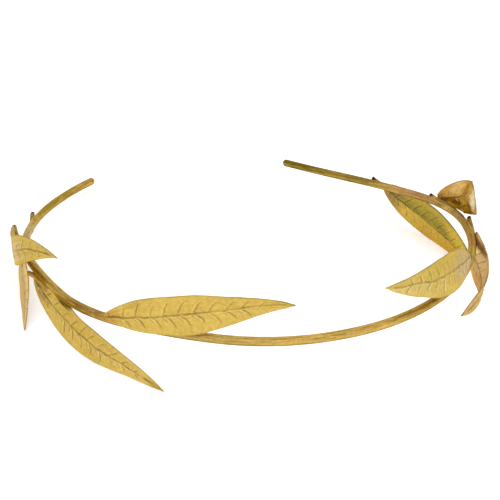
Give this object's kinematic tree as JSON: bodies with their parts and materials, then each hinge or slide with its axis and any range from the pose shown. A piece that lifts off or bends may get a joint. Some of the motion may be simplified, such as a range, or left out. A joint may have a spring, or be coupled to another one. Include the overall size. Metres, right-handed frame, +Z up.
{
  "type": "laurel wreath crown",
  "caption": "Open head wreath of bent round rod with long chased laurel leaves soldered along both arms, pointing to the front.",
  "frame": {"origin": "under the middle of the standing wreath, on what it rests on", "axes": "+Z up out of the head opening, front faces -Y, the open back faces +Y"},
  "size_m": [0.1584, 0.157, 0.0451],
  "materials": {
    "gilt_brass": "satin gilding, worn and tarnished in places"
  },
  "bodies": {
    "root": {"laurel_wreath": "gilt_brass"}
  },
  "joints": []
}
